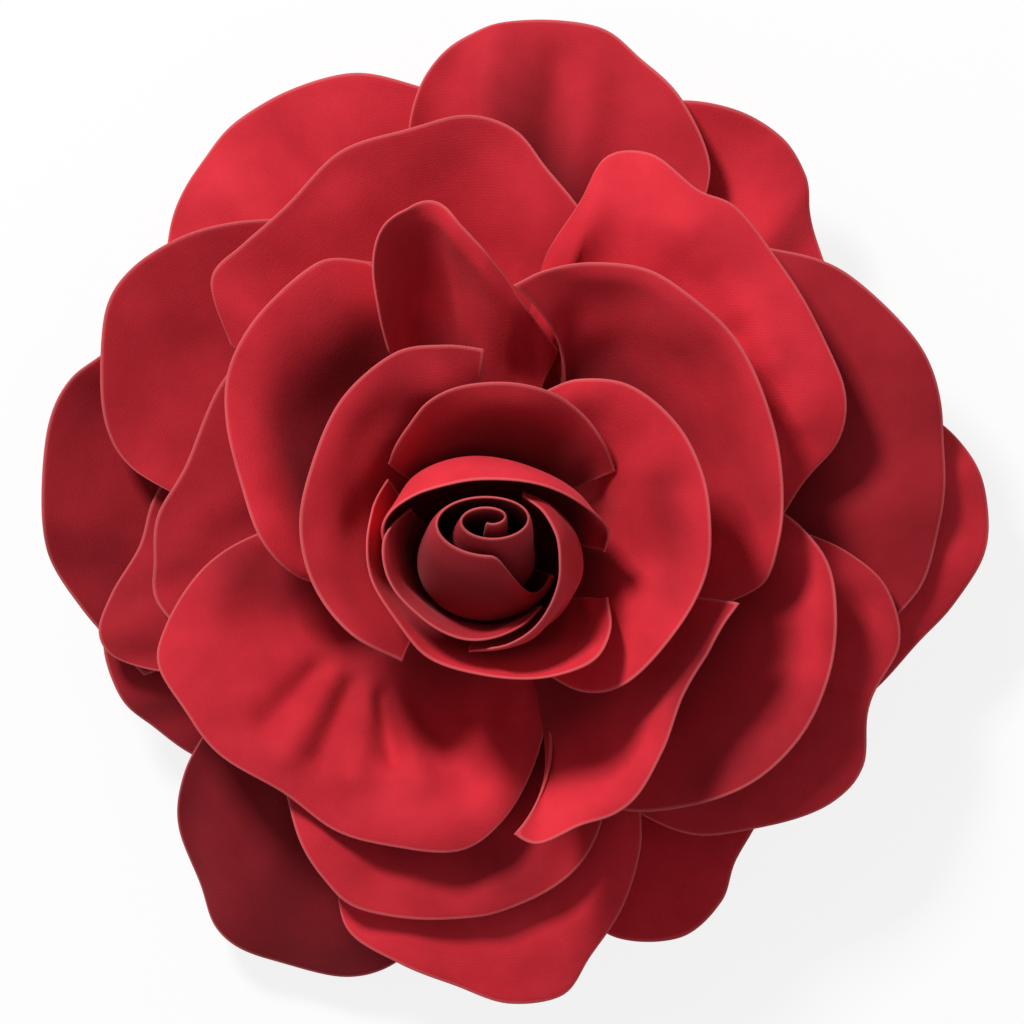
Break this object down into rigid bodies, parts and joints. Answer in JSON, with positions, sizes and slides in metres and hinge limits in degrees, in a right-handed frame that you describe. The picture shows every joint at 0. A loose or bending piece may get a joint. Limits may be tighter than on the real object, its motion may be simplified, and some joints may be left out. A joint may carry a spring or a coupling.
{
  "type": "flower hair clip",
  "caption": "Open red cloth rose of separate layered petals round a rolled bud, on a felt pad glued to a sprung steel hair clip with curved jaws and a riveted hinge.",
  "frame": {"origin": "on the clip's flat underside, halfway along the clip and midway across it, where it lies against the head", "axes": "+Z out of the flower's face, +Y along the clip towards its nose, +X across the clip"},
  "size_m": [0.1043, 0.1078, 0.0492],
  "materials": {
    "petal_cloth": "matte short-napped stiffened cloth",
    "felt": "pressed felt",
    "core_plastic": "matte moulded plastic",
    "core_foam": "closed-cell foam",
    "clip_steel": "nickel-plated pressed steel",
    "pin_steel": "bright plated rivet",
    "spring_steel": "bright drawn wire"
  },
  "bodies": {
    "flower": {"clip_upper_jaw": "clip_steel", "hinge_pin": "pin_steel", "torsion_spring": "spring_steel", "felt_pad": "felt", "felt_strap": "felt", "petal_core": "core_plastic", "bud_plug": "core_foam", "bud_roll": "petal_cloth", "outer_petal_1": "petal_cloth", "outer_petal_2": "petal_cloth", "outer_petal_3": "petal_cloth", "outer_petal_4": "petal_cloth", "outer_petal_5": "petal_cloth", "outer_petal_6": "petal_cloth", "outer_petal_7": "petal_cloth", "second_petal_1": "petal_cloth", "second_petal_2": "petal_cloth", "second_petal_3": "petal_cloth", "second_petal_4": "petal_cloth", "second_petal_5": "petal_cloth", "second_petal_6": "petal_cloth", "third_petal_1": "petal_cloth", "third_petal_2": "petal_cloth", "third_petal_3": "petal_cloth", "third_petal_4": "petal_cloth", "third_petal_5": "petal_cloth", "inner_petal_1": "petal_cloth", "inner_petal_2": "petal_cloth", "inner_petal_3": "petal_cloth", "inner_petal_4": "petal_cloth", "inner_petal_5": "petal_cloth", "cup_petal_1": "petal_cloth", "cup_petal_2": "petal_cloth", "cup_petal_3": "petal_cloth", "cup_petal_4": "petal_cloth", "bud_petal_1": "petal_cloth", "bud_petal_2": "petal_cloth", "bud_petal_3": "petal_cloth"},
    "lower_jaw": {"clip_lower_jaw": "clip_steel"}
  },
  "joints": [
    {"name": "jaw_hinge", "type": "hinge", "parent": "flower", "child": "lower_jaw", "pos_m": [0, -0.009, 0.0043], "axis": [-1, 0, 0], "range_deg": [0, 25], "stiffness_Nm_per_rad": 0.12, "springref_deg": -40.11, "deforming": ["torsion_spring"]}
  ]
}
